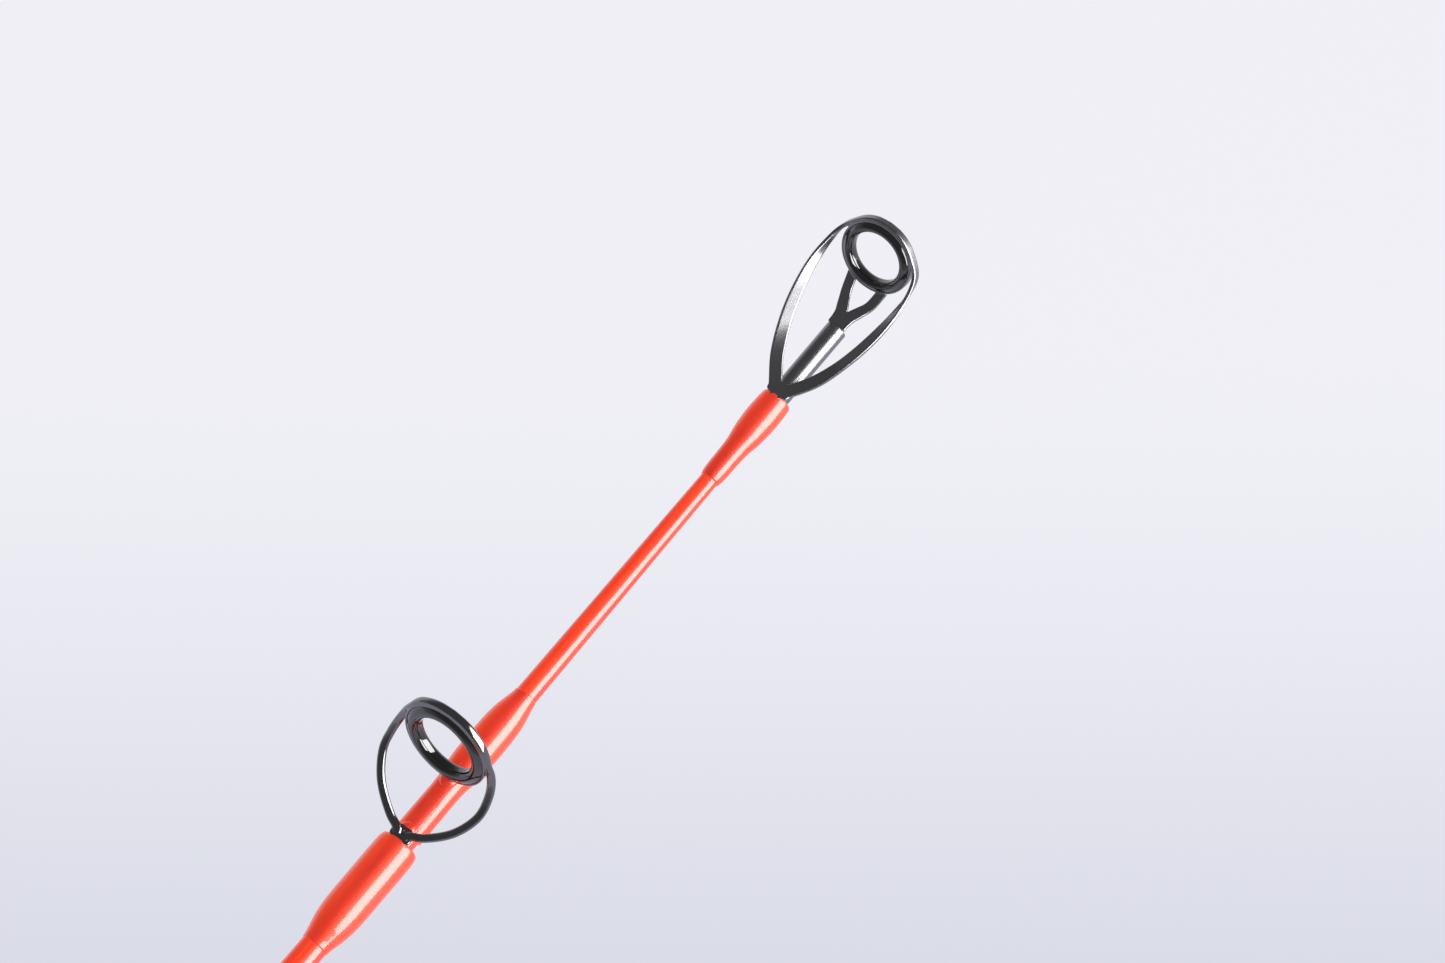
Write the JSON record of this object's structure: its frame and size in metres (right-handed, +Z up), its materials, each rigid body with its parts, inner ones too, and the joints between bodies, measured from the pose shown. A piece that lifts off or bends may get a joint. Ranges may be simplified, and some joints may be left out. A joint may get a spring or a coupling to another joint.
{
  "type": "ice fishing rod",
  "caption": "Short spinning rod for ice fishing: a solid glass blank, ringed guides and tip-top on thread wraps, and a foam handle with an up-locking reel seat.",
  "frame": {"origin": "the middle of the butt cap's flat end, on the blank's axis", "axes": "+X along the rod to its tip, +Z up on the side of the guides and the reel, +Y to the left of someone who looks to the tip"},
  "size_m": [0.7089, 0.0252, 0.0443],
  "materials": {
    "orange_glass_blank": "fluorescent orange solid glass fibre under clear gloss",
    "black_ceramic": "polished black ceramic",
    "black_thread": "black nylon thread under clear epoxy",
    "orange_thread": "fluorescent orange nylon thread under clear epoxy",
    "satin_black_metal": "satin black plated steel with a fine grain",
    "polished_black_metal": "polished black plated steel",
    "foam": "matt black closed-cell foam",
    "graphite_plastic": "black graphite-filled nylon",
    "hood_steel": "dark plated stainless steel",
    "hood_pad": "dark grey soft plastic",
    "arbor_foam": "tan rigid foam",
    "trim_metal": "satin anodised",
    "butt_rubber": "matt black"
  },
  "bodies": {
    "rod": {"blank": "orange_glass_blank", "butt_cap": "butt_rubber", "fixed_hood": "hood_steel", "fixed_hood_pad": "hood_pad", "foregrip": "foam", "guide_1_frame": "polished_black_metal", "guide_1_front_wrap": "orange_thread", "guide_1_rear_wrap": "orange_thread", "guide_1_ring": "black_ceramic", "guide_2_frame": "polished_black_metal", "guide_2_front_wrap": "orange_thread", "guide_2_rear_wrap": "orange_thread", "guide_2_ring": "black_ceramic", "guide_3_frame": "polished_black_metal", "guide_3_front_wrap": "orange_thread", "guide_3_rear_wrap": "orange_thread", "guide_3_ring": "black_ceramic", "guide_4_frame": "polished_black_metal", "guide_4_front_wrap": "orange_thread", "guide_4_rear_wrap": "orange_thread", "guide_4_ring": "black_ceramic", "handle_wrap": "black_thread", "hook_keeper": "polished_black_metal", "hook_keeper_front_wrap": "orange_thread", "hook_keeper_rear_wrap": "orange_thread", "rear_grip": "foam", "rear_trim": "trim_metal", "reel_seat_body": "graphite_plastic", "seat_arbor_1": "arbor_foam", "seat_arbor_2": "arbor_foam", "seat_arbor_3": "arbor_foam", "tip_top_frame": "satin_black_metal", "tip_top_ring": "black_ceramic", "tip_top_tube": "satin_black_metal", "tip_top_wrap": "orange_thread", "winding_check": "trim_metal"},
    "hood": {"sliding_hood": "hood_steel", "sliding_hood_pad": "hood_pad"},
    "nut": {"locking_nut": "graphite_plastic"}
  },
  "joints": [
    {"name": "hood_slide", "type": "slide", "parent": "rod", "child": "hood", "axis": [1, 0, 0], "range_m": [-0.018, 0]},
    {"name": "nut_turn", "type": "hinge", "parent": "hood", "child": "nut", "pos_m": [0.1419, 0, 0], "axis": [1, 0, 0], "range_deg": [-2160, 0]}
  ],
  "couplings": [
    {"joint": "nut_turn", "follows": "hood_slide", "rad_per_m": 2094.4}
  ]
}
